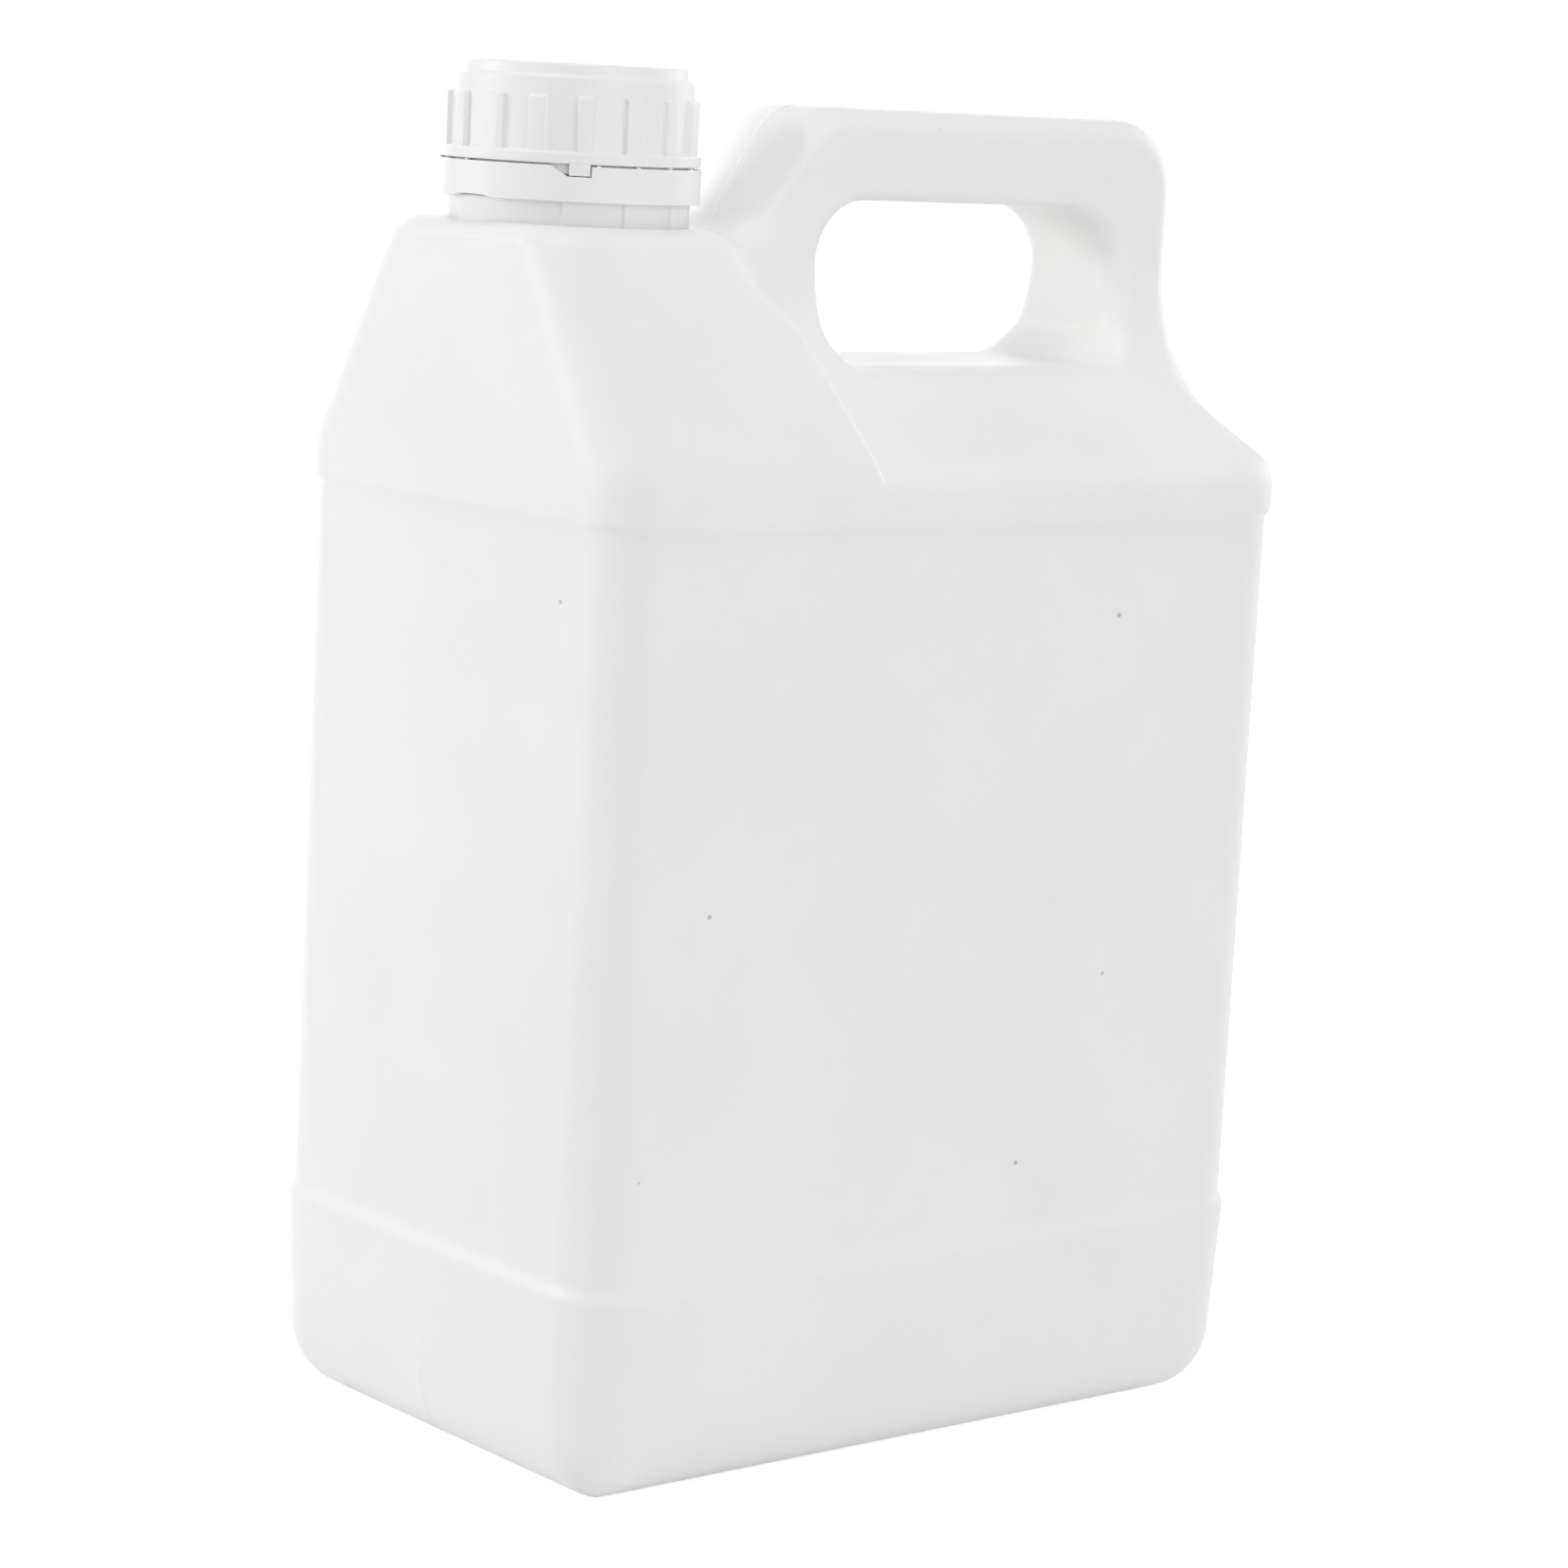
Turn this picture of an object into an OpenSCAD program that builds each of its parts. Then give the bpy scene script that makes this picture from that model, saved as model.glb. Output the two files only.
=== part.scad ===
// Rectangular blow-moulded water container with a pinched handle, a ribbed screw cap,
// its tamper ring and its sealing wad. Millimetres, +Z up. The origin is the middle of
// the base on the surface it stands on. The neck is at the -X end, the handle runs along X.

/* [Body] */
// Length over the bands
body_l = 192.4; // [184:0.2:204]
// Width over the bands
body_w = 123.4; // [116:0.2:136]
// Corner radius of the bands, seen from above
corner_r = 15; // [12:1:17]
// How far the bands stand proud of the panels
band_step = 1.2; // [0.6:0.1:1.6]
// Height of the top edge of the lower band
lower_band_h = 46.5; // [36:0.5:60]
// Height of the lower edge of the upper band
upper_band_z = 208; // [190:1:215]
// Radius of the edge round the base
base_r = 15.5; // [12:0.5:20]
// How much each side of the lower band narrows towards the base
base_draft = 2.4; // [0.5:0.1:4]
// Wall thickness of the moulding
wall = 1.3; // [1.1:0.1:1.7]

/* [Shoulder] */
// Height of the neck platform above the lower edge of the upper band
platform_rise = 58.7; // [56:0.5:64]
// Width of the neck platform
platform_w = 65.4; // [62:0.2:70]
// Length of the neck platform behind the neck's axis
platform_l = 22.7; // [21:0.1:25]
// Corner radius of the neck block at the platform
block_r = 13; // [10:0.5:15]
// Radius of the edge round the platform
platform_edge_r = 4; // [2:0.5:5]
// Lean of the neck block's sides from upright, in degrees
block_side_lean = 31.5; // [29:0.5:33]
// Lean of the neck block's rear face from upright, in degrees
block_rear_lean = 19.8; // [10:0.2:24]
// Height of the upper band's own flat, above its lower edge
band_flat = 5; // [4:0.5:7]
// Radius of the shoulder edge along the handle
shoulder_r = 7.5; // [6:0.5:9]
// Slope of the shoulder beside the handle, from upright, in degrees
shoulder_slope = 68; // [62:1:70]
// Radius of the hollow curve between the handle and the shoulder
flare_r = 37; // [34:1:38]

/* [Handle] */
// Thickness of the handle
handle_w = 32; // [28:1:34]
// Height of the handle's top above the platform
handle_rise = 26.9; // [25:0.1:30]
// Radius of the edges along the handle
handle_edge_r = 6; // [4:0.5:7]
// Radius of the edges up the handle's front leg
front_edge_r = 10; // [6:0.5:12]
// Distance of the handle's front foot from the neck's axis, at the platform
handle_foot = 37.5; // [34:0.1:42]
// Slope of the handle's front face from level, in degrees
handle_front_slope = 57.4; // [50:0.2:65]
// Radius of the handle's front top corner
front_corner_r = 13; // [9:0.5:14]
// Radius of the handle's rear top corner
rear_corner_r = 15.5; // [9:0.5:17]
// Height of the grip over the finger hole
grip_h = 20; // [18:0.1:22]
// Thickness of the handle's rear leg
rear_leg = 18.7; // [17:0.1:22]
// Thickness of the handle's front leg, level from its foot to the finger hole
front_leg = 19.6; // [17:0.1:24]
// Height of the finger hole
hole_h = 35.7; // [32:0.1:37]
// Radius of the finger hole's upper corners
hole_r = 14; // [8:0.5:15]
// Radius of the finger hole's lower corners
hole_low_r = 9; // [5:0.5:12]
// How far the finger hole's edge is rounded back
hole_edge = 3; // [1:0.5:4]

/* [Neck] */
// Distance of the tamper ring from the front face
ring_margin = 0.2; // [0.1:0.1:1]
// Diameter over the neck's thread
thread_d = 47.4; // [46.8:0.1:47.8]
// Wall of the neck under its thread
neck_wall = 2.2; // [1.8:0.1:2.6]
// Depth of the thread
thread_depth = 1.3; // [1:0.1:1.6]
// Rise of the thread in one turn
thread_pitch = 5; // [4.5:0.1:6]
// Turns of thread on the neck
neck_turns = 1.75; // [1.25:0.25:2]
// How far the bead that holds the tamper ring stands out over the thread
bead_out = 2.2; // [1.8:0.1:2.4]
// Height of the bead
bead_h = 2.4; // [2:0.1:2.6]
// How far the toothed collar under the ring stands out over the thread
collar_out = 2; // [1.7:0.1:2.2]
// Height of the collar above the platform
collar_h = 5.3; // [4.8:0.1:5.6]
// Teeth round the collar
collar_teeth = 12; // [8:1:16]
// Depth of the collar's teeth
tooth_depth = 0.5; // [0.3:0.1:0.7]

/* [Closure] */
// Wall of the cap
cap_wall = 1.6; // [1.4:0.1:1.8]
// Height of the cap from its flange to the foot of its boss
cap_h = 18; // [17.4:0.1:19]
// How far the raised boss on the cap stands in from its wall
boss_inset = 1.5; // [1:0.1:3]
// Height of the boss
boss_h = 2.5; // [1.6:0.1:3]
// Number of grip ribs
rib_count = 16; // [12:1:20]
// Width of a grip rib
rib_w = 3.6; // [2.6:0.1:4.2]
// How far the grip ribs stand out
rib_out = 1.2; // [0.9:0.1:1.6]
// Height of the grip ribs above the flange
rib_h = 11.4; // [9:0.1:13]
// How far the flange at the cap's rim stands in from the tamper ring
flange_inset = 0.2; // [0.1:0.1:0.6]
// Height of the flange
flange_h = 2.4; // [2:0.1:3]
// Turns of thread in the cap
cap_turns = 1.5; // [1.25:0.25:1.75]
// Slit between the cap's flange and the tamper ring
slit = 0.5; // [0.4:0.05:0.7]
// Clearance of the tamper ring round the bead
ring_clear = 0.4; // [0.3:0.05:0.5]
// Height of the tamper ring
ring_h = 7.3; // [7:0.1:8]
// Height of the tamper ring's lower edge above the platform
ring_lift = 5; // [4.4:0.1:5.2]
// Wall of the tamper ring
ring_wall = 1.5; // [1.3:0.05:1.6]
// Depth of the notches in the ring that take the cap's lugs
notch_depth = 2.2; // [1.6:0.1:2.6]
// Thickness of the sealing wad
wad_t = 1.5; // [1:0.1:2]
// Running clearance between pieces that turn on each other
fit_gap = 0.3; // [0.25:0.05:0.4]

/* [Hidden] */

front_x = -body_l / 2;
rear_x = body_l / 2;
platform_z = upper_band_z + platform_rise;
handle_top = platform_z + handle_rise;

// Closure radii, from the thread outwards
round_steps = 96;
groove_depth = 1.6;
wad_margin = 0.2;
neck_r = thread_d / 2 - thread_depth;
bore_r = neck_r - neck_wall;
bead_r = thread_d / 2 + bead_out;
groove_r = bead_r - groove_depth;
collar_r = thread_d / 2 + collar_out;
wad_r = neck_r - wad_margin;
recess_r = wad_r + fit_gap;
cap_crest_r = neck_r + fit_gap;
cap_in_r = thread_d / 2 + fit_gap;
cap_r = cap_in_r + cap_wall;
boss_r = cap_r - boss_inset;
rib_r = cap_r + rib_out;
ring_in_r = bead_r + ring_clear;
ring_r = ring_in_r + ring_wall;
flange_r = ring_r - flange_inset;
neck_x = front_x + ring_margin + ring_r;

// Steps of the moulding's curves, and the smallest corner radius in them
corner_steps = 6;
edge_steps = 5;
least_r = 0.3;
// The neck block sits this far inside the band that it rises from
block_lap = 0.05;
// Radius of the neck block's rear edges
block_edge_r = 2;
// Depth by which solids that are joined run into each other
root = 0.5;
// Hair's breadth that is left between pieces that press on each other
touch_gap = 0.05;

// Upper band, and the bend between the neck block's upright and leaning sides
band_top = upper_band_z + band_flat;
block_bend_z = platform_z - (body_w / 2 - platform_w / 2) / tan(block_side_lean);
block_bend_r = 20;
block_bend_t = block_bend_r * tan(block_side_lean / 2);

// Shoulder beside the handle: a hollow arc, a straight slope and a rounded edge
shoulder_top = band_top + shoulder_r * sin(shoulder_slope);
shoulder_in = body_w / 2 - shoulder_r * (1 - cos(shoulder_slope));
flare_in = handle_w / 2 + flare_r * (1 - cos(shoulder_slope));
flare_end = shoulder_top + (shoulder_in - flare_in) / tan(shoulder_slope);
flare_top = flare_end + flare_r * sin(shoulder_slope);

// Handle
foot_x = neck_x + handle_foot;
front_arc_z = handle_top - front_corner_r;
front_arc_x = foot_x + (front_arc_z - platform_z) / tan(handle_front_slope)
    + front_corner_r / sin(handle_front_slope);
front_arc_end = front_arc_z + front_corner_r * cos(handle_front_slope);
rear_arc_z = handle_top - rear_corner_r;
edge_z = handle_top - handle_edge_r;
hole_x0 = foot_x + front_leg;
hole_x1 = rear_x - rear_leg;
hole_z1 = handle_top - grip_h;
hole_z0 = hole_z1 - hole_h;
// The web between the platform and the handle's foot ends this high, just under the platform
web_z = platform_z - root / 2;
web_top = platform_z;

// Closure levels, from the platform up
cap_top_t = 2.7;
ring_z = platform_z + ring_lift;
cap_z = ring_z + ring_h + slit;
cap_top_z = cap_z + cap_h;
ceiling_z = cap_top_z + boss_h - cap_top_t;
wad_z = ceiling_z - touch_gap - wad_t;
seat_z = wad_z - touch_gap;
collar_z = platform_z + collar_h;
lip_z = collar_z + fit_gap;
bead_z = ring_z + ring_h - bead_h - fit_gap;
lip_h = bead_z - fit_gap - lip_z;

// Bevels of the mouth, the cap's top edge and its boss
mouth_bevel = 0.8;
cap_bevel = 0.7;
boss_bevel = 0.5;
boss_taper = 0.2;

// Thread tooth: width at its root and at its crest. Its ends run out over some steps.
thread_steps = 40;
run_out = 5;
run_out_width = 0.4;
tooth_root = 0.5 * thread_pitch;
tooth_crest = 0.26 * thread_pitch;
neck_thread_z = seat_z - 0.6 * thread_pitch;
cap_thread_z = neck_thread_z - thread_pitch / 2;

// Notches, lugs and bridges repeat round the ring. Turns and spans are in degrees.
notch_count = 3;
notch_wall = 242.5;
notch_span = 17.9;
ramp_span = 7.5;
bridge_first = 2.3;
bridge_pitch = 18.5;
bridge_count = 4;
bridge_span = 1.6;
bridge_inset = 0.3;
bridge_tear = 0.1;
lug_gap = 0.6;
rib_turn = 239.6;
// Turn of the collar's first tooth, and the shares of a tooth at which its slope has points
collar_turn = 20;
slope_steps = [0, 0.25, 0.5, 0.75, 0.97];

// Half width of the part beside and under the handle, at height z
function flare_half(z) =
    z < band_top ? body_w / 2
    : z < shoulder_top ? body_w / 2 - shoulder_r * (1 - cos(asin((z - band_top) / shoulder_r)))
    : z < flare_end ? shoulder_in - (z - shoulder_top) * tan(shoulder_slope)
    : z < flare_top ? handle_w / 2 + flare_r * (1 - cos(asin((flare_top - z) / flare_r)))
    : z < edge_z ? handle_w / 2
    : handle_w / 2 - handle_edge_r * (1 - cos(asin(min(1, (z - edge_z) / handle_edge_r))));

// Front and rear ends of the handle's sections. Under web_z they run into the neck block.
function fin_front(z) =
    z < web_z ? block_rear(z) - root
    : z < front_arc_end ? foot_x + (z - platform_z) / tan(handle_front_slope)
    : front_arc_x - front_corner_r * cos(asin(min(1, (z - front_arc_z) / front_corner_r)));
function fin_rear(z) =
    z < rear_arc_z ? rear_x
    : rear_x - rear_corner_r * (1 - cos(asin(min(1, (z - rear_arc_z) / rear_corner_r))));

// Corner radius of the sections: full at the band, small at the handle
function fin_corner(z) =
    handle_edge_r
    + (corner_r - handle_edge_r) * (flare_half(z) - handle_w / 2) / (body_w / 2 - handle_w / 2);
function top_corner(z) = z < edge_z ? fin_corner(z)
    : max(root, handle_edge_r - (handle_w / 2 - flare_half(z)));

// Half width of the neck block at height z
function block_half(z) =
    z < block_bend_z - block_bend_t ? body_w / 2
    : z < block_bend_z + block_bend_t * cos(block_side_lean)
        ? body_w / 2 - block_bend_r * (1 - cos(asin((z - block_bend_z + block_bend_t) / block_bend_r)))
    : platform_w / 2 + (platform_z - z) * tan(block_side_lean);
function block_corner(z) =
    block_r + (corner_r - block_r) * min(1, (platform_z - z) / (platform_z - block_bend_z + block_bend_t));
function block_rear(z) = neck_x + platform_l + (platform_z - z) * tan(block_rear_lean);

// A level section: a rounded rectangle from x0 to x1 and from -half to half.
// radii are those of its corners: rear left, front left, front right, rear right.
// grow is the distance by which it is set out (or in, when negative).
function section(z, x0, x1, half, radii, grow) = [
    for (k = [0:3])
        let (sx = k == 0 || k == 3 ? 1 : -1,
             sy = k < 2 ? 1 : -1,
             r = max(least_r, radii[k] + grow),
             cx = (sx > 0 ? x1 : x0) + sx * (grow - r),
             cy = sy * (half + grow - r))
            for (i = [0:corner_steps])
                let (a = 90 * k + 90 * i / corner_steps)
                    [cx + r * cos(a), cy + r * sin(a), z]
];

// A closed solid through a list of sections that all have the same number of points
module loft(rings) {
    n = len(rings[0]);
    last = len(rings) - 1;
    polyhedron(
        points = [for (ring = rings) each ring],
        faces = concat(
            [[for (j = [0:n - 1]) j]],
            [for (i = [0:last - 1]) for (j = [0:n - 1])
                [i * n + j, (i + 1) * n + j, (i + 1) * n + (j + 1) % n, i * n + (j + 1) % n]],
            [[for (j = [n - 1:-1:0]) last * n + j]]
        ),
        convexity = 8
    );
}

// Body, shoulder and handle, as one loft with the finger hole still full.
// inset is 0 for the outside and the wall thickness for the inside.
module main_form(inset) {
    base = [
        for (i = [0:edge_steps + 1])
            let (a = 90 * i / (edge_steps + 1), z = base_r * (1 - cos(a)))
                [z, base_r * (1 - sin(a)) + base_draft * (1 - z / lower_band_h)]
    ];
    bands = [
        [lower_band_h, 0],
        [lower_band_h + band_step, band_step],
        [upper_band_z - band_step, band_step],
        [upper_band_z, 0]
    ];
    top = [
        for (i = [0:3]) band_top + shoulder_r * sin(shoulder_slope * i / 3),
        for (i = [0:edge_steps + 1])
            flare_top - flare_r * sin(shoulder_slope * (1 - i / (edge_steps + 1))),
        web_z - root / 2,
        web_top,
        for (i = [0:2]) rear_arc_z + (edge_z - rear_arc_z) * i / 3,
        for (i = [0:edge_steps]) edge_z + handle_edge_r * sin(90 * i / edge_steps)
    ];
    loft(concat(
        [for (s = concat(base, bands))
            section(s[0] + (s[0] < lower_band_h / 2 ? inset : 0), front_x, rear_x, body_w / 2,
                [corner_r, corner_r, corner_r, corner_r], -s[1] - inset)],
        [for (z = top)
            let (low = z < band_top + root,
                 front_r = low ? corner_r : min(front_edge_r, flare_half(z) - root),
                 rear_r = top_corner(z))
                section(z - inset, low ? front_x : fin_front(z), fin_rear(z), flare_half(z),
                    [rear_r, front_r, front_r, rear_r], -inset)]
    ));
}

// Block under the neck, from the band to the platform
module neck_block(inset) {
    levels = concat(
        [upper_band_z + root + inset, block_bend_z - block_bend_t],
        [for (i = [1:3]) block_bend_z - block_bend_t + block_bend_r * sin(block_side_lean * i / 3)],
        [for (i = [0:edge_steps - 1]) platform_z - platform_edge_r * (1 - sin(90 * i / (edge_steps - 1)))]
    );
    loft([
        for (z = levels)
            let (over = max(0, z - platform_z + platform_edge_r),
                 rounding = platform_edge_r - sqrt(max(0, pow(platform_edge_r, 2) - pow(over, 2))))
                section(z - inset, front_x, block_rear(z), block_half(z),
                    [block_edge_r, block_corner(z), block_corner(z), block_edge_r],
                    -inset - rounding - (z < block_bend_z ? block_lap : 0))
    ]);
}

// What the finger hole takes away: its sides and top widen over the handle's rounded edges
module finger_hole(grow) {
    flat_half = handle_w / 2 - handle_edge_r;
    spread = [
        for (i = [0:edge_steps])
            let (a = 90 * i / edge_steps)
                [flat_half + handle_edge_r * sin(a), hole_edge * (1 - cos(a))]
    ];
    rings = concat(
        [[-body_w / 3, hole_edge]],
        [for (i = [edge_steps:-1:0]) [-spread[i][0], spread[i][1]]],
        spread,
        [[body_w / 3, hole_edge]]
    );
    mid_x = (hole_x0 + hole_x1) / 2;
    mid_z = (hole_z0 + hole_z1) / 2;
    rotate([90, 0, 0])
        loft([
            for (s = rings)
                [for (p = section(s[0], hole_x0, hole_x1, hole_h / 2,
                        [hole_r, hole_r, hole_low_r, hole_low_r], grow))
                    [p[0] + sign(p[0] - mid_x) * s[1], p[1] + (p[1] > 0 ? s[1] : 0) + mid_z, p[2]]]
        ]);
}

// Hollow moulding up to the platform, with the opening that the neck stands on
module container_body() {
    color([0.95, 0.95, 0.94])
        resize([body_l, 0, 0])
            difference() {
                union() {
                    difference() {
                        main_form(0);
                        finger_hole(0);
                    }
                    neck_block(0);
                }
                union() {
                    difference() {
                        main_form(wall);
                        finger_hole(wall);
                    }
                    neck_block(wall);
                }
                translate([neck_x, 0, platform_z - 3 * wall])
                    cylinder(r = bore_r, h = 6 * wall, $fn = round_steps);
            }
}

// A trapezoidal thread on the radius r. depth is positive outwards and negative inwards.
// Its foot is sunk into the wall, and both ends run out into it.
module thread(r, depth, z_top, turns) {
    count = ceil(turns * thread_steps);
    side = sign(depth);
    rings = [
        for (i = [0:count])
            let (a = -360 * i / thread_steps,
                 z = z_top - thread_pitch * i / thread_steps,
                 full = min(1, min(i, count - i) / run_out),
                 width = run_out_width + (1 - run_out_width) * full,
                 foot_r = r - side * root,
                 crest_r = foot_r + side * root / 2 + (depth + side * root / 2) * full)
                [for (p = [[foot_r, tooth_root / 2], [crest_r, tooth_crest / 2],
                           [crest_r, -tooth_crest / 2], [foot_r, -tooth_root / 2]])
                    [neck_x + p[0] * cos(a), p[0] * sin(a), z + p[1] * width]]
    ];
    quads = [
        for (i = [0:count - 1]) for (j = [0:3])
            let (a = i * 4 + j, b = i * 4 + (j + 1) % 4)
                depth > 0 ? [a, b, b + 4, a + 4] : [a, a + 4, b + 4, b]
    ];
    ends = depth > 0 ? [[3, 2, 1, 0], [for (j = [0:3]) count * 4 + j]]
        : [[0, 1, 2, 3], [for (j = [3:-1:0]) count * 4 + j]];
    polyhedron(points = [for (ring = rings) each ring], faces = concat(quads, ends), convexity = 10);
}

// Neck: bore, toothed collar, groove and bead for the ring, and the threaded spout
module neck() {
    translate([neck_x, 0, 0])
        rotate_extrude($fn = round_steps)
            polygon([
                [bore_r, platform_z],
                [groove_r, platform_z],
                [groove_r, bead_z],
                [bead_r, bead_z],
                [bead_r, bead_z + bead_h / 3],
                [neck_r, bead_z + bead_h],
                [neck_r, seat_z - mouth_bevel],
                [neck_r - mouth_bevel, seat_z],
                [bore_r, seat_z]
            ]);
    translate([neck_x, 0, platform_z])
        linear_extrude(collar_h)
            difference() {
                polygon([
                    for (i = [0:collar_teeth - 1]) for (step = slope_steps)
                        let (a = 360 * (i + step) / collar_teeth + collar_turn,
                             r = collar_r - tooth_depth * step)
                            [r * cos(a), r * sin(a)]
                ]);
                circle(r = groove_r - root, $fn = round_steps);
            }
    thread(neck_r, thread_depth, neck_thread_z, neck_turns);
}

module container_neck() {
    color([0.95, 0.95, 0.94])
        neck();
}

// A part of a ring about the neck's axis, with its corners at radius and height
module sector(from, span, r0, r1, z0, z1) {
    translate([neck_x, 0, 0])
        rotate([0, 0, from])
            rotate_extrude(angle = span, $fn = round_steps)
                polygon([[r0, z0], [r1, z0], [r1, z1], [r0, z1]]);
}

module screw_cap() {
    rib_span = 2 * asin(rib_w / 2 / rib_r);
    color([0.93, 0.93, 0.93]) {
        translate([neck_x, 0, 0])
            rotate_extrude($fn = round_steps)
                polygon([
                    [cap_in_r, cap_z],
                    [flange_r, cap_z],
                    [flange_r, cap_z + flange_h],
                    [cap_r, cap_z + flange_h],
                    [cap_r, cap_top_z - cap_bevel],
                    [cap_r - cap_bevel, cap_top_z],
                    [boss_r, cap_top_z],
                    [boss_r - boss_taper, cap_top_z + boss_h - boss_bevel],
                    [boss_r - boss_taper - boss_bevel, cap_top_z + boss_h],
                    [0, cap_top_z + boss_h],
                    [0, ceiling_z],
                    [recess_r, ceiling_z],
                    [recess_r, seat_z + fit_gap],
                    [cap_in_r, seat_z + fit_gap]
                ]);
        for (i = [0:rib_count - 1])
            sector(rib_turn + 360 * i / rib_count - rib_span / 2, rib_span,
                cap_r - root, rib_r, cap_z + flange_h - root, cap_z + flange_h + rib_h);
        for (i = [0:notch_count - 1])
            sector(notch_wall - notch_span + ramp_span + lug_gap + 360 * i / notch_count,
                notch_span - ramp_span - 2 * lug_gap,
                ring_in_r + fit_gap, flange_r - 2 * touch_gap,
                cap_z - slit - notch_depth + fit_gap, cap_z + root);
        thread(cap_in_r, cap_crest_r - cap_in_r, cap_thread_z, cap_turns);
    }
}

// Cuts one notch: an upright wall, a level floor, and a ramp on its other side
module notch_cutter() {
    floor_l = ring_r * sin(notch_span - ramp_span);
    notch_l = ring_r * sin(notch_span);
    translate([ring_in_r - 2 * root, 0, 0])
        rotate([90, 0, 90])
            linear_extrude(ring_wall + 4 * root)
                polygon([
                    [0, root],
                    [-notch_l - root, root],
                    [-notch_l, 0],
                    [-floor_l, -notch_depth],
                    [0, -notch_depth]
                ]);
}

// Loose ring that stays on the neck: a lip under the bead, notches for the cap's lugs
module tamper_ring() {
    ring_top = ring_z + ring_h;
    color([0.93, 0.93, 0.93]) {
        difference() {
            translate([neck_x, 0, 0])
                rotate_extrude($fn = round_steps)
                    polygon([
                        [ring_in_r, ring_z],
                        [ring_r, ring_z],
                        [ring_r, ring_top],
                        [ring_in_r, ring_top],
                        [ring_in_r, lip_z + lip_h],
                        [groove_r + fit_gap, lip_z + lip_h],
                        [groove_r + fit_gap, lip_z],
                        [ring_in_r, lip_z]
                    ]);
            for (i = [0:notch_count - 1])
                translate([neck_x, 0, ring_top])
                    rotate([0, 0, notch_wall + 360 * i / notch_count])
                        notch_cutter();
        }
        // Stubs of the torn bridges
        for (i = [0:notch_count - 1])
            for (k = [0:bridge_count - 1])
                sector(notch_wall + bridge_first + bridge_pitch * k + 360 * i / notch_count,
                    bridge_span, ring_in_r + bridge_inset, ring_r - bridge_inset,
                    ring_top - root, ring_top + slit - bridge_tear);
    }
}

module sealing_wad() {
    color([0.9, 0.9, 0.88])
        translate([neck_x, 0, wad_z])
            cylinder(r = wad_r, h = wad_t, $fn = round_steps);
}

container_body();
container_neck();
screw_cap();
tamper_ring();
sealing_wad();
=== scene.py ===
"""White water container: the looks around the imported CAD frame. Metres, +Z up."""
import math

import bpy
import numpy as np
from mathutils import Matrix, Vector


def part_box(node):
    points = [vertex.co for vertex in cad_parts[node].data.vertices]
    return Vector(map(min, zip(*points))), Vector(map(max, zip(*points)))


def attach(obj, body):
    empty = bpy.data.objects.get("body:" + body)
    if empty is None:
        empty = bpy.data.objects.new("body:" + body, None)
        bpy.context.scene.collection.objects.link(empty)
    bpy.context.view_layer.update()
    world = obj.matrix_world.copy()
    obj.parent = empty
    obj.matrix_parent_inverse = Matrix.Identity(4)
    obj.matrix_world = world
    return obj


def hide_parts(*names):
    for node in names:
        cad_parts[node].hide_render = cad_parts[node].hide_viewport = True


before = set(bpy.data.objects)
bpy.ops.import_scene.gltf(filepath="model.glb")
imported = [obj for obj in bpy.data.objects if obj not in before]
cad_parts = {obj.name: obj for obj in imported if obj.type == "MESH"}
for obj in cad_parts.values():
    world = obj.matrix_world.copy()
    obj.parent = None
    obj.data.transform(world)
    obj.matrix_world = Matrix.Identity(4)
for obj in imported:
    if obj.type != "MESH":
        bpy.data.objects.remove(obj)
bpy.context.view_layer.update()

MM = 0.001


def box_mm(node):
    """A CAD node's lowest and highest corner, in millimetres."""
    low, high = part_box(node)
    return [round(v / MM, 2) for v in low], [round(v / MM, 2) for v in high]


# All sizes below are in millimetres. The overall ones come from the boxes of the CAD nodes.
body_low, body_high = box_mm("container_body")
neck_low, neck_high = box_mm("container_neck")
ring_low, ring_high = box_mm("tamper_ring")
wad_low, wad_high = box_mm("sealing_wad")
cap_high = box_mm("screw_cap")[1]
FRONT_X, REAR_X = body_low[0], body_high[0]
HALF_W, HANDLE_TOP = body_high[1], body_high[2]
NECK_X = round((neck_low[0] + neck_high[0]) / 2, 2)
PLATFORM_Z, SEAT_Z, BEAD_R = neck_low[2], neck_high[2], neck_high[1]

# the base band, the panel between the two ledges, and the upper band
CORNER_R, BAND_STEP, LEDGE_LOW, LEDGE_HIGH = 15.0, 1.2, 46.5, 208.0
BASE_R, BASE_DRAFT, BAND_TOP = 15.5, 2.4, 213.0
LEDGE_LOW_SOFT, LEDGE_HIGH_SOFT = (-1.0, 3.0), (-1.7, 0.5)
OVERLAP_Z = LEDGE_HIGH + 1

# the shoulder beside the handle, which flares out from the handle to the upper band
SHOULDER_R, SHOULDER_SLOPE, FLARE_R, HANDLE_HALF = 7.5, math.radians(68), 37.0, 16.0

# the neck block
BLOCK_LEAN, BLOCK_BEND_R, PLATFORM_HALF, PLATFORM_EDGE = math.radians(31.5), 20.0, 32.7, 4.0
BLOCK_REAR_X, BLOCK_REAR_LEAN = -45.5, math.radians(19.8)
BLOCK_EDGE_TOP, BLOCK_EDGE_FOOT, BLOCK_FOOT_Z = 12.9, 15.0, 218.0
BLOCK_REAR_EDGE, BLOCK_REAR_EDGE_WEB = 2.0, 10.0

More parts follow.
